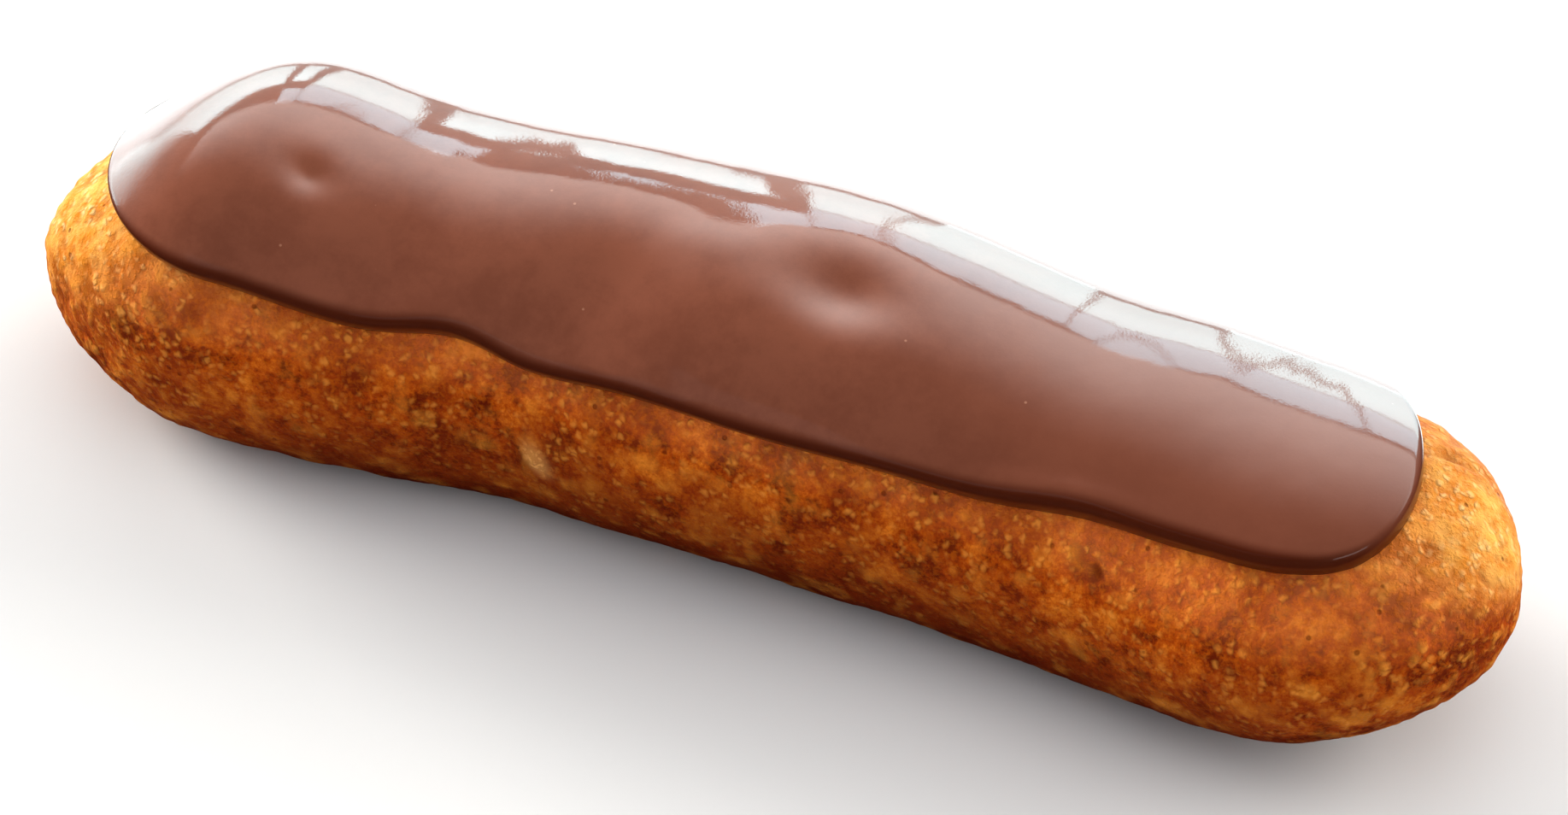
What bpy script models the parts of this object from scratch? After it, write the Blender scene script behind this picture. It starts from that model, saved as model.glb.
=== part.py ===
"""A chocolate eclair: a long finger of baked choux pastry under a layer of chocolate icing.

The finger lies along X and stands on the flat underside it was baked on. Its cross-section is
two halves of superellipse, a high domed one over a full lower one, and its width, height and
underside each close towards the ends over a reach of their own. Soft puffs and dips make it
uneven. The icing follows the pastry's upper surface, stops short of both ends, and ends all
round in a rounded lip.

Units are metres, +Z is up, and the middle of the underside is the origin.
"""
import math

import bmesh
import bpy
import numpy as np
from mathutils import Matrix

# Pastry: sizes of the plain finger
LENGTH = 0.150
WIDTH = 0.0376
HEIGHT = 0.0288
WIDEST_LEVEL = 0.0134  # height above the table of the widest line
UNDER_DEPTH = 0.0160  # the full lower half, of which the table cuts the lowest part
TABLE_BLEND = 0.0010  # softness of the edge round the flat underside
BOW = 0.0065  # how far the middle of the finger lies back from its ends
DOME_FULLNESS = 2.15
UNDER_FULLNESS = 2.4

# Pastry: how each half closes at the ends, as reach at the left, reach at the right, roundness
FRONT_TAPER = (0.024, 0.019, 1.7)
BACK_TAPER = (0.029, 0.0245, 1.9)
DOME_TAPER = (0.050, 0.027, 2.1)
UNDER_TAPER = (0.032, 0.052, 2.2)
NOSE_LIFT_LEFT = -0.0005
NOSE_LIFT_RIGHT = 0.0029
NOSE_LIFT_REACH = 0.035

# Pastry: puffs and dips along it, as place, spread, swelling
FRONT_PUFFS = ((-0.022, 0.009, -0.0012), (0.050, 0.013, 0.0016))
DOME_PUFFS = (
    (-0.057, 0.011, 0.0054),
    (-0.032, 0.009, -0.0005),
    (0.001, 0.014, 0.0011),
    (0.0285, 0.012, -0.0020),
    (0.0505, 0.012, -0.0015),
)
BACK_SHARE = 0.4  # the part of a dome puff that also widens the back

# Hollows in the top, which the icing follows, as x, y, radius, depth
HOLLOWS = (
    (0.0072, -0.0006, 0.0034, 0.0009),
    (-0.0464, -0.0042, 0.0020, 0.0004),
    (-0.0360, -0.0100, 0.0060, 0.0005),
    (-0.0165, -0.0070, 0.0070, 0.0006),
)

# Icing
ICING_GAP = 0.0003
ICING_THICKNESS = 0.0018
LIP_REACH = 0.0018  # how far in from its border the icing reaches full thickness
BEAD_RISE = 0.25  # the lip's bead, as a share of the thickness
BEAD_PLACE = 0.0024
BEAD_SPREAD = 0.0014
ICING_LEFT_TIP = -0.0682
ICING_RIGHT_TIP = 0.0646
FRONT_CAPS = (0.0170, 0.0145)  # length of the rounded end at the left and right
BACK_CAPS = (0.0215, 0.0145)
TIP_SKEW = (0.0033, -0.0021)  # how far each tip lies back from the finger's centreline
ICING_FRONT_WIDTH = 0.0153
ICING_BACK_WIDTH = 0.0146

# Icing: where its border runs lower or stays higher, as place, spread, extra width
FRONT_RUNS = (
    (-0.039, 0.010, 0.0004),
    (-0.0275, 0.006, -0.0008),
    (0.003, 0.018, 0.0012),
    (0.036, 0.008, -0.0008),
    (0.0525, 0.010, -0.0011),
)
BACK_RUNS = ((-0.030, 0.009, 0.0007), (0.012, 0.010, -0.0006), (0.040, 0.008, 0.0006))

# Mesh
BODY_STATIONS = 60
BODY_SECTORS = 40
BORDER_CAP_STEPS = 9
BORDER_STRAIGHT_STEPS = 32
UPPER_LIP = (0.0002, 0.0008, 0.0016, 0.0026)  # distances of the rings behind the border
LOWER_LIP = (0.0026,)
INNER_RINGS = 6
MEDIAL_SHARE = 0.6  # how far the middle line reaches into each rounded end
SAMPLES_INWARD = 60
NORMAL_STEP = 0.0002
WELD = 0.000001
SHARP_ANGLE = 50


def bumps(x, rows):
    """The sum of smooth humps, each given as place, spread, height."""
    return sum(height * np.exp(-(((x - place) / spread) ** 2)) for place, spread, height in rows)


def closing(x, taper):
    """1 along the middle of the finger and 0 at its tips."""
    left_reach, right_reach, roundness = taper
    reach = np.where(x < 0, left_reach, right_reach)
    into_end = np.clip((np.abs(x) - (LENGTH / 2 - reach)) / reach, 0, 1)
    return (1 - into_end**roundness) ** (1 / roundness)


def centreline(x):
    """Y of the finger's middle line."""
    return BOW * (0.5 - (2 * x / LENGTH) ** 2)


def widest_level(x):
    """Height of the widest line, which each nose lifts or lowers a little."""
    into_end = np.clip((np.abs(x) - (LENGTH / 2 - NOSE_LIFT_REACH)) / NOSE_LIFT_REACH, 0, 1)
    return WIDEST_LEVEL + np.where(x < 0, NOSE_LIFT_LEFT, NOSE_LIFT_RIGHT) * into_end**2


def front_width(x):
    """Distance from the centreline to the front."""
    return (WIDTH / 2 + bumps(x, FRONT_PUFFS)) * closing(x, FRONT_TAPER)


def back_width(x):
    """Distance from the centreline to the back."""
    return (WIDTH / 2 + BACK_SHARE * bumps(x, DOME_PUFFS)) * closing(x, BACK_TAPER)


def dome_rise(x):
    """Height of the top above the widest line."""
    return (HEIGHT - WIDEST_LEVEL + bumps(x, DOME_PUFFS)) * closing(x, DOME_TAPER)


def hollow_depth(x, y):
    """How far the hollows lower the top."""
    return sum(
        depth * np.exp(-((x - hx) ** 2 + (y - hy) ** 2) / radius**2) for hx, hy, radius, depth in HOLLOWS
    )


def top_height(x, y):
    """Height of the pastry's upper surface."""
    across = y - centreline(x)
    width = np.maximum(np.where(across < 0, front_width(x), back_width(x)), 1e-6)
    share = np.clip(np.abs(across) / width, 0, 1)
    dome = dome_rise(x) * (1 - share**DOME_FULLNESS) ** (1 / DOME_FULLNESS)
    return widest_level(x) + dome - hollow_depth(x, y)


def settle(z):
    """Flatten what would lie below the table, with a soft edge."""
    blended = (z + TABLE_BLEND) ** 2 / (4 * TABLE_BLEND)
    return np.where(z > TABLE_BLEND, z, np.where(z < -TABLE_BLEND, 0.0, blended))


def signed_power(value, exponent):
    return np.sign(value) * np.abs(value) ** exponent


def pastry_points():
    """Rings of points, one cross-section for each station along X, without the two tips."""
    steps = np.linspace(-math.pi / 2, math.pi / 2, BODY_STATIONS + 1)[1:-1]
    x = (LENGTH / 2 * np.sin(steps))[:, None]
    turn = np.linspace(0, 2 * math.pi, BODY_SECTORS, endpoint=False)[None, :]
    across, up = np.cos(turn), np.sin(turn)
    fullness = np.where(up >= 0, DOME_FULLNESS, UNDER_FULLNESS)
    width = np.where(across < 0, front_width(x), back_width(x))
    rise = np.where(up >= 0, dome_rise(x), UNDER_DEPTH * closing(x, UNDER_TAPER))
    y = centreline(x) + width * signed_power(across, 2 / fullness)
    z = widest_level(x) + rise * signed_power(up, 2 / fullness)
    z = z - np.where(up > 0, hollow_depth(x, y), 0)
    return np.stack([x + 0 * y, y, settle(z)], axis=-1)


def tip_point(side):
    """The end of the finger: side is -1 at the left and 1 at the right."""
    x = side * LENGTH / 2
    return (x, float(centreline(x)), float(widest_level(np.array(x))))


def make_pastry():
    """The choux finger as one closed mesh."""
    mesh = bmesh.new()
    rings = [[mesh.verts.new(point) for point in ring] for ring in pastry_points()]
    for near, far in zip(rings, rings[1:]):
        join_rings(mesh, near, far)
    for ring, side in ((rings[0], -1), (rings[-1], 1)):
        tip = mesh.verts.new(tip_point(side))
        for first, second in zip(ring, ring[1:] + ring[:1]):
            mesh.faces.new((first, second, tip))
    return mesh


def join_rings(mesh, first_ring, second_ring):
    """A band of quads between two rings of equal length."""
    count = len(first_ring)
    for i in range(count):
        j = (i + 1) % count
        mesh.faces.new((first_ring[i], first_ring[j], second_ring[j], second_ring[i]))


def into_cap(x, caps):
    """0 along the icing's straight part, rising to 1 at its tips."""
    left = (ICING_LEFT_TIP + caps[0] - x) / caps[0]
    right = (x - ICING_RIGHT_TIP + caps[1]) / caps[1]
    return np.clip(np.maximum(left, right), 0, 1)


def icing_middle(x):
    """Y of the icing's middle line, which swings away from the pastry's at the tips."""
    return centreline(x) + np.where(x < 0, *TIP_SKEW) * into_cap(x, FRONT_CAPS) ** 2


def icing_width(x, width, runs, caps):
    """Distance from the icing's middle line to its front or back border."""
    return (width + bumps(x, runs)) * np.sqrt(1 - into_cap(x, caps) ** 2)


def icing_stations():
    """X of the border's points, from the left tip to the right one."""
    opening = 1 - np.cos(np.linspace(0, math.pi / 2, BORDER_CAP_STEPS + 1))
    left = ICING_LEFT_TIP + FRONT_CAPS[0] * opening
    right = (ICING_RIGHT_TIP - FRONT_CAPS[1] * opening)[::-1]
    straight = np.linspace(left[-1], right[0], BORDER_STRAIGHT_STEPS + 1)[1:-1]
    return np.concatenate([left, straight, right])


def icing_border():
    """The border, and for each of its points the middle-line point that it looks to."""
    x = icing_stations()
    front = icing_middle(x) - icing_width(x, ICING_FRONT_WIDTH, FRONT_RUNS, FRONT_CAPS)
    back = icing_middle(x) + icing_width(x, ICING_BACK_WIDTH, BACK_RUNS, BACK_CAPS)
    round_trip = np.concatenate([x, x[-2:0:-1]])
    border = np.stack([round_trip, np.concatenate([front, back[-2:0:-1]])], axis=-1)
    hub = np.clip(round_trip, ICING_LEFT_TIP + FRONT_CAPS[0], ICING_RIGHT_TIP - FRONT_CAPS[1])
    middle_x = hub + MEDIAL_SHARE * (round_trip - hub)
    return border, np.stack([middle_x, icing_middle(middle_x)], axis=-1)


def inward_rings(border, middle, lip_distances):
    """Plan points of each ring from the border to the middle line, with their distances.

    Distances run along the pastry's surface, so a lip keeps its shape on a steep side.
    """
    share = np.linspace(0, 1, SAMPLES_INWARD + 1)
    path = border + (middle - border) * share[:, None, None]
    height = top_height(path[..., 0], path[..., 1])
    steps = np.sqrt(np.sum(np.diff(path, axis=0) ** 2, axis=-1) + np.diff(height, axis=0) ** 2)
    run = np.vstack([np.zeros(len(border)), np.cumsum(steps, axis=0)])
    inner = np.linspace(0, 1, INNER_RINGS + 1)[1:-1]
    rings = []
    for ring in range(len(lip_distances) + len(inner)):
        if ring < len(lip_distances):
            distance = np.full(len(border), lip_distances[ring])
        else:
            rest = run[-1] - lip_distances[-1]
            distance = lip_distances[-1] + rest * inner[ring - len(lip_distances)]
        at = np.array([np.interp(d, column, share) for d, column in zip(distance, run.T)])
        rings.append((border + (middle - border) * at[:, None], distance))
    rings.append((middle, np.full(len(border), np.inf)))
    return rings


def icing_thickness(distance):
    """A rounded lip with a low bead behind it, then the plain layer."""
    lip = np.sqrt(1 - (1 - np.minimum(distance / LIP_REACH, 1)) ** 2)
    bead = BEAD_RISE * np.exp(-(((distance - BEAD_PLACE) / BEAD_SPREAD) ** 2))
    return ICING_THICKNESS * lip * (1 + bead)


def above_pastry(plan, clearance):
    """Points at a clearance from the pastry's upper surface, along its normal."""
    x, y = plan[:, 0], plan[:, 1]
    slope_x = (top_height(x + NORMAL_STEP, y) - top_height(x - NORMAL_STEP, y)) / (2 * NORMAL_STEP)
    slope_y = (top_height(x, y + NORMAL_STEP) - top_height(x, y - NORMAL_STEP)) / (2 * NORMAL_STEP)
    normal = np.stack([-slope_x, -slope_y, np.ones_like(x)], axis=-1)
    normal /= np.linalg.norm(normal, axis=-1, keepdims=True)
    surface = np.stack([x, y, top_height(x, y)], axis=-1)
    return surface + normal * np.reshape(clearance, (-1, 1))


def make_icing():
    """The icing as one closed mesh: an upper and a lower sheet that share their border."""
    border, middle = icing_border()
    mesh = bmesh.new()
    rim = [mesh.verts.new(point) for point in above_pastry(border, np.full(len(border), ICING_GAP))]
    for lip_distances, thickness in ((UPPER_LIP, icing_thickness), (LOWER_LIP, np.zeros_like)):
        outer = rim
        for plan, distance in inward_rings(border, middle, lip_distances):
            points = above_pastry(plan, ICING_GAP + thickness(distance))
            inner = [mesh.verts.new(point) for point in points]
            join_rings(mesh, outer, inner)
            outer = inner
    bmesh.ops.remove_doubles(mesh, verts=mesh.verts, dist=WELD)
    return mesh


def make_material(name, colour, roughness):
    """A plain material with one colour and roughness."""
    material = bpy.data.materials.new(name)
    material.use_nodes = True
    shader = material.node_tree.nodes["Principled BSDF"]
    shader.inputs["Base Color"].default_value = (*colour, 1)
    shader.inputs["Roughness"].default_value = roughness
    shader.inputs["Metallic"].default_value = 0
    material.diffuse_color = (*colour, 1)
    return material


def add_object(name, mesh, material):
    """A scene object from a bmesh, with its faces turned outwards and shaded smooth."""
    bmesh.ops.triangulate(mesh, faces=mesh.faces)
    bmesh.ops.recalc_face_normals(mesh, faces=mesh.faces)
    data = bpy.data.meshes.new(name)
    mesh.to_mesh(data)
    mesh.free()
    data.materials.append(material)
    data.shade_smooth()
    data.set_sharp_from_angle(angle=math.radians(SHARP_ANGLE))
    piece = bpy.data.objects.new(name, data)
    bpy.context.scene.collection.objects.link(piece)
    return piece


def centre_on_origin(pieces):
    """Move the meshes in plan so that their common box is centred on the origin."""
    corners = np.array([vertex.co for piece in pieces for vertex in piece.data.vertices])
    shift = -(corners.min(axis=0) + corners.max(axis=0)) / 2
    for piece in pieces:
        piece.data.transform(Matrix.Translation((shift[0], shift[1], 0)))


def main():
    for old in list(bpy.data.objects):
        bpy.data.objects.remove(old)
    crust = make_material("baked_choux", (0.43, 0.13, 0.022), 0.7)
    chocolate = make_material("chocolate_icing", (0.20, 0.075, 0.045), 0.25)
    centre_on_origin(
        [
            add_object("choux_pastry", make_pastry(), crust),
            add_object("chocolate_icing", make_icing(), chocolate),
        ]
    )


main()
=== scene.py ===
"""The looks of a chocolate eclair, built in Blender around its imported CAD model.

Two pieces stand for the two CAD nodes: the baked choux pastry and the chocolate icing. Both
repeat the CAD model's formulas at a much finer resolution, then add the relief of the real
surfaces. Units are metres, +Z is up, and X runs along the finger.
"""

import math

import bmesh
import bpy
import numpy as np
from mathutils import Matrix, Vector


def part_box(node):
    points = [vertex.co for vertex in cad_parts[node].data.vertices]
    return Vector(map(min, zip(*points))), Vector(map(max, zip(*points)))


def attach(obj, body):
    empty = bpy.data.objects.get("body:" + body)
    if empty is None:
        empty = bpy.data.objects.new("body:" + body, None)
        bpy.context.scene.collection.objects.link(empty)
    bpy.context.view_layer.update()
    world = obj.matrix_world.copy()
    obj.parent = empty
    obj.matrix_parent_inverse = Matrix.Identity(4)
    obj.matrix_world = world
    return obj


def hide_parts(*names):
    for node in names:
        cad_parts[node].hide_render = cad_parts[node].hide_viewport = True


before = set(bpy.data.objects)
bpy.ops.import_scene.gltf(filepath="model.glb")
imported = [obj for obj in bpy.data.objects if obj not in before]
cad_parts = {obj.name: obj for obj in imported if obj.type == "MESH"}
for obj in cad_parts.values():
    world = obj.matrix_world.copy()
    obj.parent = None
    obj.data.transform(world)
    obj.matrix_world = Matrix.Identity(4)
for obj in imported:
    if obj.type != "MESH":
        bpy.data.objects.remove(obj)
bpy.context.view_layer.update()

MM = 0.001

# ---------------------------------------------------------------- the CAD model's sizes
LENGTH = 0.150
WIDTH = 0.0376
HEIGHT = 0.0288
WIDEST_LEVEL = 0.0134
UNDER_DEPTH = 0.0160
TABLE_BLEND = 0.0010
BOW = 0.0065
DOME_FULLNESS = 2.15
UNDER_FULLNESS = 2.4
FRONT_TAPER = (0.024, 0.019, 1.7)
BACK_TAPER = (0.029, 0.0245, 1.9)
DOME_TAPER = (0.050, 0.027, 2.1)
UNDER_TAPER = (0.032, 0.052, 2.2)
NOSE_LIFT_LEFT = -0.0005
NOSE_LIFT_RIGHT = 0.0029
NOSE_LIFT_REACH = 0.035
FRONT_PUFFS = ((-0.022, 0.009, -0.0012), (0.050, 0.013, 0.0016))
DOME_PUFFS = (
    (-0.057, 0.011, 0.0054),
    (-0.032, 0.009, -0.0005),
    (0.001, 0.014, 0.0011),
    (0.0285, 0.012, -0.0020),
    (0.0505, 0.012, -0.0015),
)
BACK_SHARE = 0.4
ICING_THICKNESS = 0.0018
ICING_LEFT_TIP = -0.0682
ICING_RIGHT_TIP = 0.0646
FRONT_CAPS = (0.0170, 0.0145)
BACK_CAPS = (0.0215, 0.0145)
TIP_SKEW = (0.0033, -0.0021)
ICING_FRONT_WIDTH = 0.0153
ICING_BACK_WIDTH = 0.0146
FRONT_RUNS = (
    (-0.039, 0.010, 0.0004),
    (-0.0275, 0.006, -0.0008),
    (0.003, 0.018, 0.0012),
    (0.036, 0.008, -0.0008),
    (0.0525, 0.010, -0.0011),
)
BACK_RUNS = ((-0.030, 0.009, 0.0007), (0.012, 0.010, -0.0006), (0.040, 0.008, 0.0006))
MEDIAL_SHARE = 0.6
NORMAL_STEP = 0.0002

# ---------------------------------------------------------------- finer than the CAD model
# Hollows in the top, as x, y, radius, depth. The first is the wide foot of the icing's crater.
HOLLOWS = (
    (0.0072, -0.0004, 0.0046, 0.0006),
    (-0.0464, -0.0042, 0.0020, 0.0004),
    (-0.0360, -0.0100, 0.0060, 0.0005),
    (-0.0165, -0.0070, 0.0070, 0.0006),
)
LIP_REACH = 0.0013  # how far in from its border the icing reaches full thickness
LIP_FULLNESS = 2.3
# The lip's bead, where it has one, as place, spread, share of the thickness
BEAD_RISES = ((0.0340, 0.0090, 0.15), (-0.0260, 0.0100, 0.10), (-0.0450, 0.0080, 0.07))
BEAD_PLACE = 0.0019
BEAD_SPREAD = 0.0010
DENTS = (  # hollows of the icing's own, as x, y, reach along X, reach along Y, depth
    (0.0066, -0.0002, 0.0062, 0.0034, 0.00064),
    (-0.0464, -0.0040, 0.0034, 0.0018, 0.00016),
    (-0.0360, -0.0100, 0.0060, 0.0045, 0.00030),
    (-0.0135, -0.0060, 0.0058, 0.0056, 0.00055),
    (-0.0051, -0.0125, 0.0022, 0.0018, 0.00022),
    (-0.0060, 0.0010, 0.0050, 0.0030, -0.00015),
)

# ---------------------------------------------------------------- resolution
BODY_STATIONS = 476
BODY_SECTORS = 204
CAP_STEPS = 90
STRAIGHT_STEPS = 250
LIP_RINGS = 16
INNER_RINGS = 44
SAMPLES_INWARD = 240
PALE_TIPS = 0.0010  # how much narrower the painted shade at the icing's foot is round its two tips
ICING_SINK = 0.00035  # how far the icing's underside lies below the crust's plain surface


# ---------------------------------------------------------------- noise
def lattice(cell, seed):
    """A repeatable random number from 0 to 1 for each whole-numbered cell."""
    mixed = (
        cell[..., 0].astype(np.uint32) * np.uint32(374761393)
        + cell[..., 1].astype(np.uint32) * np.uint32(668265263)
        + cell[..., 2].astype(np.uint32) * np.uint32(2147483647)
        + np.uint32(seed * 974634777 % 4294967296)
    )
    mixed = (mixed ^ (mixed >> np.uint32(13))) * np.uint32(1274126177)
    mixed = (mixed ^ (mixed >> np.uint32(16))) * np.uint32(2246822519)
    mixed = mixed ^ (mixed >> np.uint32(13))
    return mixed.astype(float) / 4294967295.0


def soft_noise(points, size, seed):
    """Smooth random waves from -1 to 1 with features of about the given size."""
    place = np.asarray(points) / size + 1000.0
    cell = np.floor(place).astype(np.int64)
    part = place - cell
    ease = part * part * part * (part * (part * 6 - 15) + 10)
    total = np.zeros(place.shape[:-1])
    for corner in np.ndindex(2, 2, 2):
        weight = np.prod(np.where(corner, ease, 1 - ease), axis=-1)
        total += weight * lattice(cell + np.array(corner), seed)
    return 2 * total - 1


def pebbles(points, size, seed):
    """Distance to the nearest of randomly scattered centres, in units of size."""
    place = np.asarray(points) / size + 1000.0
    cell = np.floor(place).astype(np.int64)
    nearest = np.full(place.shape[:-1], 9.0)
    for corner in np.ndindex(3, 3, 3):
        there = cell + np.array(corner) - 1
        centre = there + np.stack([lattice(there, seed + k) for k in range(3)], axis=-1)
        nearest = np.minimum(nearest, np.sum((place - centre) ** 2, axis=-1))
    return np.sqrt(nearest)


def smooth_step(value, low, high):
    share = np.clip((value - low) / (high - low), 0, 1)
    return share * share * (3 - 2 * share)


# ---------------------------------------------------------------- the CAD model's formulas
def bumps(x, rows):
    return sum(height * np.exp(-(((x - place) / spread) ** 2)) for place, spread, height in rows)


def closing(x, taper):
    left_reach, right_reach, roundness = taper
    reach = np.where(x < 0, left_reach, right_reach)
    into_end = np.clip((np.abs(x) - (LENGTH / 2 - reach)) / reach, 0, 1)
    return (1 - into_end**roundness) ** (1 / roundness)


def centreline(x):
    return BOW * (0.5 - (2 * x / LENGTH) ** 2)


def widest_level(x):
    into_end = np.clip((np.abs(x) - (LENGTH / 2 - NOSE_LIFT_REACH)) / NOSE_LIFT_REACH, 0, 1)
    return WIDEST_LEVEL + np.where(x < 0, NOSE_LIFT_LEFT, NOSE_LIFT_RIGHT) * into_end**2


def front_width(x):
    return (WIDTH / 2 + bumps(x, FRONT_PUFFS)) * closing(x, FRONT_TAPER)


def back_width(x):
    return (WIDTH / 2 + BACK_SHARE * bumps(x, DOME_PUFFS)) * closing(x, BACK_TAPER)


def dome_rise(x):
    return (HEIGHT - WIDEST_LEVEL + bumps(x, DOME_PUFFS)) * closing(x, DOME_TAPER)


def hollow_depth(x, y):
    return sum(
        depth * np.exp(-((x - hx) ** 2 + (y - hy) ** 2) / radius**2) for hx, hy, radius, depth in HOLLOWS
    )


def top_height(x, y):
    across = y - centreline(x)
    width = np.maximum(np.where(across < 0, front_width(x), back_width(x)), 1e-6)
    share = np.clip(np.abs(across) / width, 0, 1)
    dome = dome_rise(x) * (1 - share**DOME_FULLNESS) ** (1 / DOME_FULLNESS)
    return widest_level(x) + dome - hollow_depth(x, y)


def settle(z):
    blended = (z + TABLE_BLEND) ** 2 / (4 * TABLE_BLEND)
    return np.where(z > TABLE_BLEND, z, np.where(z < -TABLE_BLEND, 0.0, blended))


def signed_power(value, exponent):
    return np.sign(value) * np.abs(value) ** exponent


def into_cap(x, caps):
    left = (ICING_LEFT_TIP + caps[0] - x) / caps[0]
    right = (x - ICING_RIGHT_TIP + caps[1]) / caps[1]
    return np.clip(np.maximum(left, right), 0, 1)


def icing_middle(x):
    return centreline(x) + np.where(x < 0, *TIP_SKEW) * into_cap(x, FRONT_CAPS) ** 2


def icing_width(x, width, runs, caps):
    return (width + bumps(x, runs)) * np.sqrt(1 - into_cap(x, caps) ** 2)


# ---------------------------------------------------------------- the crust
def even_stations(count):
    """Places along X that lie evenly along the finger's surface, without the two tips."""
    x = LENGTH / 2 * np.sin(np.linspace(-math.pi / 2, math.pi / 2, 6001))
    size = (front_width(x) + back_width(x)) / 2 + dome_rise(x) / 2
    run = np.concatenate([[0], np.cumsum(np.hypot(np.diff(x), np.diff(size)))])
    return np.interp(np.linspace(0, run[-1], count + 1)[1:-1], run, x)


def section_angles(count):
    """Angles round the finger, closer together on the two sides that show."""
    turn = np.linspace(0, 2 * math.pi, 3601)
    to_top = np.abs(np.angle(np.exp(1j * (turn - math.pi / 2))))
    to_bottom = math.pi - to_top
    density = 2.0 - 0.7 * (1 - smooth_step(to_top, 0.6, 1.1)) - 1.2 * (1 - smooth_step(to_bottom, 0.4, 0.8))
    run = np.concatenate([[0], np.cumsum((density[1:] + density[:-1]) / 2)])
    return np.interp(np.linspace(0, run[-1], count + 1)[:-1], run, turn)


def crust_grid():
    """Points of the plain finger as stations by sectors, and its two tips."""
    x = even_stations(BODY_STATIONS)[:, None]
    turn = section_angles(BODY_SECTORS)[None, :]
    across, up = np.cos(turn), np.sin(turn)
    fullness = np.where(up >= 0, DOME_FULLNESS, UNDER_FULLNESS)
    width = np.where(across < 0, front_width(x), back_width(x))
    rise = np.where(up >= 0, dome_rise(x), UNDER_DEPTH * closing(x, UNDER_TAPER))
    y = centreline(x) + width * signed_power(across, 2 / fullness)
    z = widest_level(x) + rise * signed_power(up, 2 / fullness)
    z = z - np.where(up > 0, hollow_depth(x, y), 0)
    grid = np.stack([x + 0 * y, y, settle(z)], axis=-1)
    tips = [
        (side * LENGTH / 2, float(centreline(side * LENGTH / 2)), float(widest_level(np.array(side * LENGTH / 2))))
        for side in (-1, 1)
    ]
    return grid, np.array(tips)


def ring_faces(first, second, count):
    """Quads between two rings of vertices whose indices start at first and second."""
    i = np.arange(count)
    j = (i + 1) % count
    return np.stack([first + i, first + j, second + j, second + i], axis=-1)


def new_mesh(name, points, quads, fans):
    """A mesh from points, an array of quads and a list of (centre, ring start, count, flipped)."""
    faces = quads.tolist()
    for centre, start, count, flipped in fans:
        for i in range(count):
            near, far = start + i, start + (i + 1) % count
            faces.append((far, near, centre) if flipped else (near, far, centre))
    data = bpy.data.meshes.new(name)
    data.from_pydata(np.asarray(points).tolist(), [], faces)
    data.validate()
    data.shade_smooth()
    return data


def normals_of(data):
    found = np.empty(len(data.vertices) * 3, np.float32)
    data.vertex_normals.foreach_get("vector", found)
    return found.reshape(-1, 3).astype(float)


def points_of(data):
    found = np.empty(len(data.vertices) * 3, np.float32)
    data.vertices.foreach_get("co", found)
    return found.reshape(-1, 3).astype(float)


def move_to(data, points):
    data.vertices.foreach_set("co", np.asarray(points, np.float32).ravel())
    data.update()


def add_values(data, name, values):
    """Keep one number for each vertex, which the material reads by name."""
    layer = data.attributes.new(name, "FLOAT", "POINT")
    layer.data.foreach_set("value", np.asarray(values, np.float32))


def icing_cover(points):
    """How far inside the icing's border a point lies in plan, in metres; negative outside."""
    x, y = points[:, 0], points[:, 1]
    front = icing_width(x, ICING_FRONT_WIDTH, FRONT_RUNS, FRONT_CAPS)
    back = icing_width(x, ICING_BACK_WIDTH, BACK_RUNS, BACK_CAPS)
    across = y - icing_middle(x)
    inside = np.where(across < 0, front + across, back - across)
    beyond = np.maximum(ICING_LEFT_TIP - x, x - ICING_RIGHT_TIP)
    return np.where(beyond > 0, -np.maximum(beyond, np.abs(across) * 0.3), inside)


def spot(points, centre, along, length, width):
    """1 at a centre, fading over a length in one direction and a width across it."""
    axis = np.array(along) / np.linalg.norm(along)
    away = points - np.array(centre)
    run = away @ axis
    across = np.linalg.norm(away - run[:, None] * axis, axis=1)
    return np.exp(-((run / length) ** 2) - (across / width) ** 2)


# Marks in the crust, as centre, direction, length, width, height, paleness; paleness below zero is painted shade in
# a crack or pit
MARKS = (
    ((-0.0180, -0.0150, 0.0125), (0.50, -0.15, -0.85), 0.0023, 0.0012, 0.00030, 1.4),
    ((-0.0206, -0.0152, 0.0165), (0.60, -0.15, -0.80), 0.0022, 0.0004, -0.00025, -0.2),
    ((-0.0192, -0.0152, 0.0168), (0.60, -0.15, -0.80), 0.0030, 0.0007, 0.00012, 0.5),
    ((0.0368, -0.0158, 0.0210), (0.20, -0.40, -0.90), 0.0014, 0.0007, -0.00045, -0.5),
    ((0.0386, -0.0160, 0.0204), (0.50, -0.30, -0.80), 0.0012, 0.0006, -0.00040, -0.9),
    ((0.0350, -0.0156, 0.0212), (0.30, -0.40, -0.90), 0.0016, 0.0008, 0.00012, 0.8),
    ((0.0058, -0.0141, 0.0208), (0.00, -0.40, -0.90), 0.0016, 0.0004, -0.00025, -0.3),
    ((0.0072, -0.0143, 0.0205), (0.00, -0.40, -0.90), 0.0014, 0.0006, 0.00010, 0.6),
    ((0.0655, 0.0054, 0.0255), (0.75, 0.20, -0.60), 0.0030, 0.0007, -0.00060, -0.5),
    ((0.0668, 0.0012, 0.0245), (0.80, 0.00, -0.60), 0.0026, 0.0012, 0.00030, 0.5),
    ((0.0690, -0.0030, 0.0215), (0.50, -0.30, -0.80), 0.0020, 0.0006, -0.00035, -0.3),
)


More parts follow.
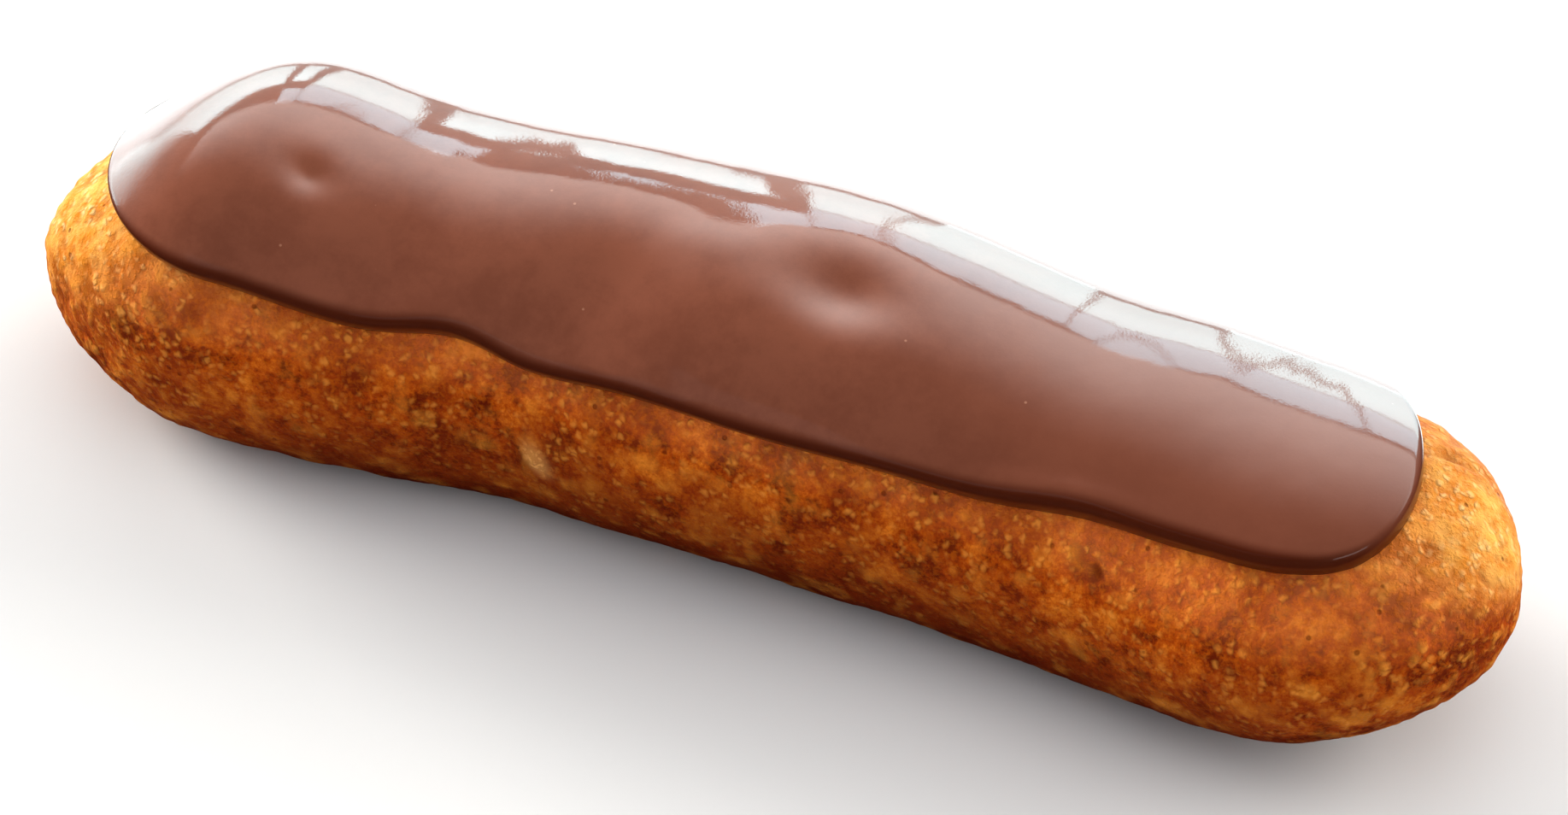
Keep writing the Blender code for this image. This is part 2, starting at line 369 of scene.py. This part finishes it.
def crust_relief(points, normals):
    """Height of the crust's relief at each point, its fine part, and how much its marks lighten: below zero, painted
    shade in cracks and pits.
    """
    x, z = points[:, 0], points[:, 2]
    left_end = 1 - smooth_step(x, -0.068, -0.046)
    right_end = smooth_step(x, 0.054, 0.068)
    pebbled = 0.65 + 1.30 * left_end + 1.00 * right_end
    swell = 0.24 * MM * soft_noise(points, 0.0085, 1) + 0.15 * MM * soft_noise(points, 0.0042, 2)
    wrinkle = 0.075 * MM * soft_noise(points, 0.0021, 3)
    grain = 0.100 * MM * (0.55 - pebbles(points, 0.00150, 11))
    fine = 0.060 * MM * soft_noise(points, 0.00095, 4)
    rough = wrinkle + pebbled * (grain + fine)
    relief = swell + rough
    scar_and_shade = np.zeros(len(points))
    for centre, along, length, width, height, scar_and_shade_amount in MARKS:
        mark = spot(points, centre, along, length, width)
        relief = relief + height * mark
        scar_and_shade = scar_and_shade + scar_and_shade_amount * mark
    covered = smooth_step(icing_cover(points), -0.0002, 0.0012) * (normals[:, 2] > 0)
    on_table = smooth_step(z, 0.0001, 0.0016)
    return relief * (1 - covered) * on_table, rough, scar_and_shade


def make_crust(material):
    grid, tips = crust_grid()
    rings, count = grid.shape[0], grid.shape[1]
    points = np.concatenate([grid.reshape(-1, 3), tips])
    quads = np.concatenate([ring_faces(r * count, (r + 1) * count, count) for r in range(rings - 1)])
    fans = [(rings * count, 0, count, True), (rings * count + 1, (rings - 1) * count, count, False)]
    data = new_mesh("choux_crust", points, quads, fans)
    plain, normals = points_of(data), normals_of(data)
    relief, rough, scar_and_shade = crust_relief(plain, normals)
    moved = plain + normals * relief[:, None]
    moved[:, 2] = np.maximum(moved[:, 2], 0.0)
    move_to(data, moved)
    add_values(data, "relief", rough / (0.1 * MM))
    add_values(data, "scar_and_shade", scar_and_shade)
    add_values(data, "golden_glow", golden_glow_share(plain, normals))
    add_values(data, "shade", shade_share(plain))
    return add_piece("choux_crust", data, material)


def golden_glow_share(points, normals):
    """1 where the crust is paler and yellower, on top of both ends and towards the back: a paler bake with painted
    glow of the light from behind.
    """
    x = points[:, 0]
    left = 1 - smooth_step(x, -0.072, -0.042)
    right = smooth_step(x, 0.050, 0.074)
    facing = normals[:, 2] + 0.6 * np.abs(normals[:, 0]) + 0.6 * np.minimum(normals[:, 1], 0.3)
    share = 0.90 * left * smooth_step(facing, -0.40, 1.1) + 0.85 * right * smooth_step(facing, 0.50, 1.40)
    return share * (1 - 0.55 * smooth_step(normals[:, 1], 0.1, 0.9))


def shade_share(points):
    """1 where the crust is darkest, low on its sides, and less so at the left end: painted shade with some browner
    bake.
    """
    left = 1 - smooth_step(points[:, 0], -0.066, -0.034)
    return (1 - 0.35 * left) * (1 - smooth_step(points[:, 2], 0.0005, 0.0235))


# ---------------------------------------------------------------- the icing
def icing_border():
    """The border, and for each of its points the middle-line point that it looks to."""
    opening = 1 - np.cos(np.linspace(0, math.pi / 2, CAP_STEPS + 1))
    left = ICING_LEFT_TIP + FRONT_CAPS[0] * opening
    right = (ICING_RIGHT_TIP - FRONT_CAPS[1] * opening)[::-1]
    straight = np.linspace(left[-1], right[0], STRAIGHT_STEPS + 1)[1:-1]
    x = np.concatenate([left, straight, right])
    front = icing_middle(x) - icing_width(x, ICING_FRONT_WIDTH, FRONT_RUNS, FRONT_CAPS)
    back = icing_middle(x) + icing_width(x, ICING_BACK_WIDTH, BACK_RUNS, BACK_CAPS)
    round_trip = np.concatenate([x, x[-2:0:-1]])
    border = np.stack([round_trip, np.concatenate([front, back[-2:0:-1]])], axis=-1)
    hub = np.clip(round_trip, ICING_LEFT_TIP + FRONT_CAPS[0], ICING_RIGHT_TIP - FRONT_CAPS[1])
    middle_x = hub + MEDIAL_SHARE * (round_trip - hub)
    return border, np.stack([middle_x, icing_middle(middle_x)], axis=-1)


def inward_rings(border, middle, lip_distances, inner_count):
    """Plan points of each ring from the border to the middle line, with their distances."""
    share = np.linspace(0, 1, SAMPLES_INWARD + 1)
    path = border + (middle - border) * share[:, None, None]
    height = top_height(path[..., 0], path[..., 1])
    steps = np.sqrt(np.sum(np.diff(path, axis=0) ** 2, axis=-1) + np.diff(height, axis=0) ** 2)
    run = np.vstack([np.zeros(len(border)), np.cumsum(steps, axis=0)])
    inner = np.linspace(0, 1, inner_count + 1)[1:-1]
    rings = []
    for ring in range(len(lip_distances) + len(inner)):
        if ring < len(lip_distances):
            distance = np.full(len(border), lip_distances[ring])
        else:
            rest = run[-1] - lip_distances[-1]
            distance = lip_distances[-1] + rest * inner[ring - len(lip_distances)]
        at = np.array([np.interp(d, column, share) for d, column in zip(distance, run.T)])
        rings.append((border + (middle - border) * at[:, None], distance))
    rings.append((middle, np.full(len(border), 1.0)))
    return rings


def icing_thickness(plan, distance):
    outward = 1 - np.minimum(distance / LIP_REACH, 1)
    lip = (1 - outward**LIP_FULLNESS) ** (1 / LIP_FULLNESS)
    rise = bumps(plan[:, 0], BEAD_RISES) * (plan[:, 1] < icing_middle(plan[:, 0]))
    bead = rise * np.exp(-(((distance - BEAD_PLACE) / BEAD_SPREAD) ** 2))
    return ICING_THICKNESS * lip * (1 + bead)


def dents(plan):
    """How far the icing's own hollows lower it."""
    x, y = plan[:, 0], plan[:, 1]
    return sum(
        depth * np.exp(-(((x - dx) / across) ** 2) - ((y - dy) / along) ** 2)
        for dx, dy, across, along, depth in DENTS
    )


def above_pastry(plan, clearance):
    """Points at a clearance from the pastry's upper surface, along its normal."""
    x, y = plan[:, 0], plan[:, 1]
    slope_x = (top_height(x + NORMAL_STEP, y) - top_height(x - NORMAL_STEP, y)) / (2 * NORMAL_STEP)
    slope_y = (top_height(x, y + NORMAL_STEP) - top_height(x, y - NORMAL_STEP)) / (2 * NORMAL_STEP)
    normal = np.stack([-slope_x, -slope_y, np.ones_like(x)], axis=-1)
    normal /= np.linalg.norm(normal, axis=-1, keepdims=True)
    surface = np.stack([x, y, top_height(x, y)], axis=-1)
    return surface + normal * np.reshape(clearance, (-1, 1))


def icing_waves(points):
    """Height of the soft waves in the icing's surface."""
    waves = ((0.050, 0.0110), (0.012, 0.0045), (0.0085, 0.0024), (0.0028, 0.0012))
    return sum(height * MM * soft_noise(points, size, 21 + i) for i, (height, size) in enumerate(waves))


def make_icing(material):
    border, middle = icing_border()
    count = len(border)
    lip = LIP_REACH * 1.5 * (1 - np.cos(np.linspace(0, math.pi / 2, LIP_RINGS + 1)[1:]))
    top = inward_rings(border, middle, lip, INNER_RINGS)
    under = inward_rings(border, middle, (0.0012, 0.0040), 5)
    sheets, distances = [above_pastry(border, np.full(count, -ICING_SINK))], [np.zeros(count)]
    for plan, distance in top:
        rise = icing_thickness(plan, distance)
        fade = smooth_step(distance, 0.0005, 0.0040)
        flat = np.column_stack([plan, np.zeros(count)])
        rise = rise + fade * (icing_waves(flat) - dents(plan))
        rise = rise - ICING_SINK * (1 - smooth_step(distance, 0, 0.0008))
        sheets.append(above_pastry(plan, rise))
        distances.append(distance + PALE_TIPS * into_cap(plan[:, 0], FRONT_CAPS) ** 2)
    for plan, distance in under:
        sheets.append(above_pastry(plan, np.full(count, -ICING_SINK)))
        distances.append(np.zeros(count))
    quads = [ring_faces(r * count, (r + 1) * count, count) for r in range(len(top))]
    below = len(top) + 1
    quads.append(ring_faces(0, below * count, count)[:, ::-1])
    for r in range(len(under) - 1):
        quads.append(ring_faces((below + r) * count, (below + r + 1) * count, count)[:, ::-1])
    data = new_mesh("chocolate_glaze", np.concatenate(sheets), np.concatenate(quads), [])
    add_values(data, "inward", np.concatenate(distances) / MM)
    close_middle(data)
    return add_piece("chocolate_glaze", data, material)


def close_middle(data):
    """Join the points that meet on the middle line."""
    mesh = bmesh.new()
    mesh.from_mesh(data)
    bmesh.ops.remove_doubles(mesh, verts=mesh.verts, dist=1e-6)
    bmesh.ops.recalc_face_normals(mesh, faces=mesh.faces)
    mesh.to_mesh(data)
    mesh.free()
    data.shade_smooth()


# ---------------------------------------------------------------- pieces
PLAN_SHIFT = 0.0


def add_piece(name, data, material):
    """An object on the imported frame: the formulas' place moved to the CAD node's."""
    points = points_of(data)
    points[:, 1] += PLAN_SHIFT
    move_to(data, points)
    data.materials.append(material)
    piece = bpy.data.objects.new(name, data)
    bpy.context.scene.collection.objects.link(piece)
    return piece


def plan_shift():
    """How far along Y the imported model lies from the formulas' own origin."""
    low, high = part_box("choux_pastry")
    grid, _ = crust_grid()
    return (low.y + high.y) / 2 - (grid[..., 1].min() + grid[..., 1].max()) / 2


# ---------------------------------------------------------------- materials
class Graph:
    """A small helper that adds nodes to a material and links them."""

    def __init__(self, name):
        self.material = bpy.data.materials.new(name)
        self.material.use_nodes = True
        self.tree = self.material.node_tree
        self.shader = self.tree.nodes["Principled BSDF"]

    def node(self, kind, inputs=(), **settings):
        made = self.tree.nodes.new(kind)
        for key, value in settings.items():
            setattr(made, key, value)
        for socket, value in dict(inputs).items():
            self.feed(made, socket, value)
        return made

    def feed(self, node, socket, value):
        target = node.inputs[socket]
        if isinstance(value, bpy.types.NodeSocket):
            self.tree.links.new(value, target)
        else:
            target.default_value = value

    def noise(self, where, size, detail=2.0, roughness=0.5, distortion=0.0):
        made = self.node(
            "ShaderNodeTexNoise",
            {"Vector": where, "Scale": 1 / size, "Detail": detail, "Roughness": roughness, "Distortion": distortion},
        )
        return made.outputs["Fac"]

    def cells(self, where, size, feature="F1", randomness=1.0):
        made = self.node(
            "ShaderNodeTexVoronoi",
            {"Vector": where, "Scale": 1 / size, "Randomness": randomness},
            feature=feature,
        )
        return made.outputs["Distance"]

    def value(self, name):
        made = self.node("ShaderNodeAttribute", attribute_name=name)
        return made.outputs["Fac"]

    def spread(self, value, low, high, to_low=0.0, to_high=1.0):
        made = self.node(
            "ShaderNodeMapRange",
            {"Value": value, "From Min": low, "From Max": high, "To Min": to_low, "To Max": to_high},
            interpolation_type="SMOOTHSTEP",
        )
        return made.outputs["Result"]

    def math(self, operation, first, second=0.5):
        made = self.node("ShaderNodeMath", {0: first, 1: second}, operation=operation)
        return made.outputs["Value"]

    def mix(self, factor, first, second, blend="MIX"):
        made = self.node("ShaderNodeMix", data_type="RGBA", blend_type=blend)
        self.feed(made, 0, factor)
        self.feed(made, 6, (*first, 1) if isinstance(first, tuple) else first)
        self.feed(made, 7, (*second, 1) if isinstance(second, tuple) else second)
        return made.outputs[2]

    def bump(self, height, distance, strength=1.0, under=None):
        made = self.node("ShaderNodeBump", {"Height": height, "Distance": distance, "Strength": strength})
        if under is not None:
            self.feed(made, "Normal", under)
        return made.outputs["Normal"]

    def set(self, socket, value):
        self.feed(self.shader, socket, value)


def crust_material():
    g = Graph("baked_crust")
    where = g.node("ShaderNodeTexCoord").outputs["Object"]
    patches = g.spread(g.noise(where, 0.0085, 2, 0.5), 0.40, 0.62)
    level = g.noise(where, 0.0050, 5, 0.80)
    clusters = g.spread(g.noise(where, 0.0034, 2, 0.5), 0.36, 0.60, 0.15, 1.0)
    wobble = g.node("ShaderNodeTexNoise", {"Vector": where, "Scale": 1 / 0.0010, "Detail": 1.0}).outputs["Color"]
    shaken = {0: wobble, 1: (0.0010, 0.0010, 0.0010), 2: where}
    shaken = g.node("ShaderNodeVectorMath", shaken, operation="MULTIPLY_ADD").outputs["Vector"]
    beads = g.spread(g.cells(shaken, 0.00105), 0.50, 0.12)
    beads = g.math("MULTIPLY", beads, clusters)
    pores = g.spread(g.cells(where, 0.0026), 0.12, 0.05)
    grain = g.spread(g.noise(where, 0.00055, 2, 0.6), 0.42, 0.68)
    shade = g.value("shade")
    base = g.mix(g.spread(level, 0.37, 0.54), (0.12, 0.009, 0.0001), (0.49, 0.066, 0.0012))
    base = g.mix(g.spread(level, 0.50, 0.68), base, (0.92, 0.25, 0.018))
    # Painted sheen: a paler pinkish tone on the crust's top, just under the icing.
    base = g.mix(g.spread(shade, 0.16, 0.0, 0.0, 0.40), base, (0.70, 0.18, 0.052))
    base = g.mix(g.math("MULTIPLY", patches, 0.50), base, (0.24, 0.026, 0.0020))
    base = g.mix(g.math("MULTIPLY", grain, 0.30), base, (0.80, 0.18, 0.005))
    # Lighter dots on the raised beads: partly paler crust, partly painted highlight on their tops.
    base = g.mix(g.math("MULTIPLY", beads, 0.55), base, (1.0, 0.36, 0.050))
    # Painted glow of the light from behind, with a paler bake: the crust's ends paler and yellower on top.
    golden_glow_colour = g.mix(g.spread(level, 0.38, 0.60), (0.90, 0.29, 0.018), (1.0, 0.58, 0.130))
    # Painted highlights: near-white bead tops at the crust's ends, in place of glints.
    golden_glow_colour = g.mix(g.math("MULTIPLY", beads, 0.8), golden_glow_colour, (1.0, 0.80, 0.36))
    base = g.mix(g.math("MULTIPLY", g.value("golden_glow"), 0.92), base, golden_glow_colour)
    # Painted shade with some browner bake: the crust darker low on its sides.
    base = g.mix(g.math("MULTIPLY", shade, 0.97), base, (0.10, 0.0060, 0.0001))
    relief = g.value("relief")
    # Painted shade in the crust's creases and painted highlights on its raised tops.
    base = g.mix(g.spread(relief, -0.1, -1.5, 0.0, 0.40), base, (0.17, 0.018, 0.0006))
    base = g.mix(g.spread(relief, 0.0, 1.4, 0.0, 0.30), base, (0.92, 0.36, 0.040))
    base = g.mix(g.math("MULTIPLY", pores, 0.6), base, (0.14, 0.014, 0.0006))
    scar_and_shade = g.value("scar_and_shade")
    scar = g.math("MULTIPLY", g.spread(scar_and_shade, 0.1, 1.2), g.spread(grain, 0, 1, 0.45, 0.85))
    base = g.mix(scar, base, (0.80, 0.37, 0.10))
    # Painted shade in the marks' cracks and pits.
    base = g.mix(g.spread(scar_and_shade, -0.1, -0.8, 0.0, 0.8), base, (0.14, 0.015, 0.0008))
    g.set("Base Color", base)
    g.set("Roughness", g.spread(level, 0.4, 0.6, 0.50, 0.66))
    g.set("Specular IOR Level", 0.03)
    raised = g.math("ADD", beads, g.math("MULTIPLY", grain, 0.5))
    g.set("Normal", g.bump(g.math("SUBTRACT", raised, pores), 0.00016))
    return g.material


def icing_material():
    g = Graph("milk_chocolate")
    where = g.node("ShaderNodeTexCoord").outputs["Object"]
    cloud = g.spread(g.noise(where, 0.009, 7, 0.75), 0.35, 0.65)
    base = g.mix(cloud, (0.188, 0.054, 0.029), (0.234, 0.071, 0.039))
    along = g.node("ShaderNodeSeparateXYZ", {"Vector": where}).outputs["X"]
    # Painted shade: the icing darker towards its right half.
    base = g.mix(g.spread(along, 0.008, 0.036, 0.0, 0.65), base, (0.158, 0.044, 0.023))
    flecks = g.spread(g.cells(where, 0.0042), 0.045, 0.02)
    base = g.mix(g.math("MULTIPLY", flecks, 0.6), base, (0.50, 0.24, 0.15))
    # Painted shade: the icing's lip darker towards its foot on the crust, less so round the tips.
    foot = g.spread(g.value("inward"), 0.9, 2.1)
    base = g.mix(foot, (0.070, 0.0090, 0.0016), base)
    g.set("Base Color", base)
    g.set("Roughness", 0.42)
    g.set("Specular IOR Level", 0.2)
    g.set("Specular Tint", (1.0, 0.50, 0.34, 1.0))
    g.set("Coat Weight", 1.0)
    g.set("Coat Roughness", 0.02)
    g.set("Coat IOR", 1.45)
    coarser = g.spread(along, -0.050, -0.066, 1.0, 3.0)
    micro = g.math("MULTIPLY", g.noise(where, 0.00028, 2, 0.6), coarser)
    g.set("Normal", g.bump(micro, 0.000005))
    g.set("Coat Normal", g.bump(micro, 0.000005))
    return g.material


def floor_material():
    g = Graph("pale_floor")
    where = g.node("ShaderNodeTexCoord").outputs["Object"]
    tone = g.spread(g.noise(where, 0.35, 2, 0.5), 0.3, 0.7)
    g.set("Base Color", g.mix(tone, (0.80, 0.80, 0.80), (0.83, 0.83, 0.83)))
    g.set("Roughness", 0.9)
    g.set("Specular IOR Level", 0.1)
    return g.material


# ---------------------------------------------------------------- floor, light and camera
def add_floor():
    data = bpy.data.meshes.new("floor")
    half = 30.0
    data.from_pydata([(-half, -half, 0), (half, -half, 0), (half, half, 0), (-half, half, 0)], [], [(0, 1, 2, 3)])
    data.materials.append(floor_material())
    floor = bpy.data.objects.new("floor", data)
    bpy.context.scene.collection.objects.link(floor)
    floor.visible_glossy = False


def direction(azimuth, elevation):
    """Unit vector from the object towards a place: azimuth 0 is the front, 90 is +X."""
    a, e = math.radians(azimuth), math.radians(elevation)
    return Vector((math.sin(a) * math.cos(e), -math.cos(a) * math.cos(e), math.sin(e)))


def add_light(name, size, radiance, colour, fade=None):
    """A soft rectangular light, which shows in glossy surfaces only.

    fade is its least share of brightness, and where between its own -Y and +Y edges, from 0
    to 1, the brightness starts to rise and is full.
    """
    data = bpy.data.lights.new(name, "AREA")
    data.shape = "RECTANGLE"
    data.size, data.size_y = size
    data.energy = radiance * math.pi * size[0] * size[1]
    data.color = colour
    if fade is not None:
        data.use_nodes = True
        tree = data.node_tree
        place = tree.nodes.new("ShaderNodeNewGeometry")
        split = tree.nodes.new("ShaderNodeSeparateXYZ")
        ramp = tree.nodes.new("ShaderNodeMapRange")
        ramp.interpolation_type = "SMOOTHSTEP"
        least, start, full = fade
        ramp.inputs["From Min"].default_value = start
        ramp.inputs["From Max"].default_value = full
        ramp.inputs["To Min"].default_value = least
        tree.links.new(place.outputs["Parametric"], split.inputs[0])
        tree.links.new(split.outputs["Y"], ramp.inputs["Value"])
        tree.links.new(ramp.outputs["Result"], tree.nodes["Emission"].inputs["Strength"])
    light = bpy.data.objects.new(name, data)
    light.visible_camera = False
    light.visible_diffuse = False
    bpy.context.scene.collection.objects.link(light)
    return light


def add_panel(name, azimuth, elevation, distance, size, radiance, colour=(1, 1, 1)):
    """A reflected light that faces the object from a direction."""
    light = add_light(name, size, radiance, colour)
    away = direction(azimuth, elevation)
    light.location = away * distance
    light.rotation_euler = away.to_track_quat("Z", "Y").to_euler()
    return light


WINDOW_DISTANCE = 1.6


def add_window(name, azimuths, elevations, radiance, colour, fade=None):
    """A reflected upright pane behind the object, between two azimuths and two elevations."""
    middle = math.radians(sum(azimuths) / 2)
    width = 2 * WINDOW_DISTANCE * math.tan(math.radians(azimuths[1] - azimuths[0]) / 2)
    low, high = (WINDOW_DISTANCE * math.tan(math.radians(e)) for e in elevations)
    light = add_light(name, (width, high - low), radiance, colour, fade)
    flat = Vector((math.sin(middle), -math.cos(middle), 0))
    light.location = flat * WINDOW_DISTANCE + Vector((0, 0, (low + high) / 2 + 0.02))
    light.rotation_euler = flat.to_track_quat("Z", "Y").to_euler()
    return light


def add_level(name, height, x_range, y_range, radiance, colour, upwards, fade=None):
    """A reflected level light that fills a rectangle in plan, facing up or down."""
    size = (x_range[1] - x_range[0], y_range[1] - y_range[0])
    light = add_light(name, size, radiance, colour, fade)
    light.location = (sum(x_range) / 2, sum(y_range) / 2, height)
    if upwards:
        light.rotation_euler = (math.pi, 0, 0)
    return light


def add_glow(name, azimuth, elevation, spread, strength, colour):
    """Soft light from far away, which shapes the surfaces but doesn't show in the gloss."""
    data = bpy.data.lights.new(name, "SUN")
    data.angle = math.radians(spread)
    data.energy = strength
    data.color = colour
    light = bpy.data.objects.new(name, data)
    light.rotation_euler = direction(azimuth, elevation).to_track_quat("Z", "Y").to_euler()
    light.visible_glossy = False
    bpy.context.scene.collection.objects.link(light)
    return light


DAYLIGHT = (0.68, 0.96, 1.0)
BLIND = (0.60, 0.88, 1.0)
# White panes behind the object and blinds above them, as name, azimuths and elevations
PANES = (
    ("a", (168, 189.7), (-4, 23)),
    ("b", (190.3, 197.6), (0.3, 23)),
    ("c", (200.0, 203.8), (0.3, 19)),
    ("d", (206.0, 236.0), (0.3, 22)),
)
BLINDS = (
    ("a", (168, 189.7), (23.5, 36.2)),
    ("b", (190.3, 197.6), (23.5, 36.2)),
    ("c", (198.0, 205.0), (27, 36.8)),
)


def add_lights():
    for name, azimuths, elevations in PANES:
        add_window("pane_" + name, azimuths, elevations, 9.2, DAYLIGHT, (0.45, 0.0, 1.0))
    for name, azimuths, elevations in BLINDS:
        add_window("blind_" + name, azimuths, elevations, 7.4, BLIND)
    add_window("left_sheen", (236, 262), (-3, 18), 5.0, DAYLIGHT, (0.0, 1.0, 0.1))
    add_level("ceiling", 1.3, (-1.8, 1.8), (-0.3, 1.62), 3.6, (1.0, 0.97, 0.94), False, (0.0, 0.22, 0.92))
    add_level("table_glare", 0.0004, (-0.9, 0.08), (0.035, 0.50), 3.4, (0.82, 0.97, 1.0), True)
    add_panel("lip_strip", 338, 38, 1.5, (0.6, 0.22), 0.20, (0.95, 0.97, 1.0))
    add_panel("side_sheen", 50, 18, 1.6, (1.0, 0.5), 1.6, (1.0, 1.0, 1.0))
    add_glow("left_glow", 256, 14, 36, 5.0, (1.0, 0.97, 0.90))
    add_glow("right_glow", 138, 15, 50, 3.6, (1.0, 0.97, 0.90))
    add_glow("back_glow", 200, 32, 50, 0.6, (1.0, 0.97, 0.92))
    add_glow("top_glow", 30, 80, 60, 0.5, (1.0, 1.0, 1.0))


AMBIENT_STRENGTH = 0.55
BACKDROP_STRENGTH = 1.06


def add_world():
    """Even light from all round, behind which the backdrop itself looks white, as the lit floor does."""
    world = bpy.data.worlds.new("studio")
    world.use_nodes = True
    tree = world.node_tree
    background = tree.nodes["Background"]
    background.inputs["Color"].default_value = (0.95, 0.97, 1.0, 1)
    seen = tree.nodes.new("ShaderNodeLightPath")
    strength = tree.nodes.new("ShaderNodeMapRange")
    strength.inputs["To Min"].default_value = AMBIENT_STRENGTH
    strength.inputs["To Max"].default_value = BACKDROP_STRENGTH
    tree.links.new(seen.outputs["Is Camera Ray"], strength.inputs["Value"])
    tree.links.new(strength.outputs["Result"], background.inputs["Strength"])
    world.cycles_visibility.glossy = False
    bpy.context.scene.world = world


CAMERA_AZIMUTH = 22.4
CAMERA_ELEVATION = 44.0
CAMERA_DISTANCE = 0.621
CAMERA_TARGET = Vector((0.0018, -0.0027, 0.0148))


def add_camera():
    data = bpy.data.cameras.new("camera")
    data.lens = 150
    data.sensor_width = 36
    data.clip_start = 0.01
    data.clip_end = 100
    camera = bpy.data.objects.new("camera", data)
    away = direction(CAMERA_AZIMUTH, CAMERA_ELEVATION)
    camera.location = CAMERA_TARGET + away * CAMERA_DISTANCE
    camera.rotation_euler = away.to_track_quat("Z", "Y").to_euler()
    bpy.context.scene.collection.objects.link(camera)
    bpy.context.scene.camera = camera


PLAN_SHIFT = plan_shift()
crust = make_crust(crust_material())
icing = make_icing(icing_material())
for piece, node, slot in ((crust, "choux_pastry", "baked_choux"), (icing, "chocolate_icing", "chocolate_icing")):
    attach(piece, "root")
    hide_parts(node)
add_floor()
add_lights()
add_world()
add_camera()
bpy.context.scene.view_settings.view_transform = "Standard"
for piece in (crust, icing):
    print(piece.name, sum(len(p.vertices) - 2 for p in piece.data.polygons), "triangles")
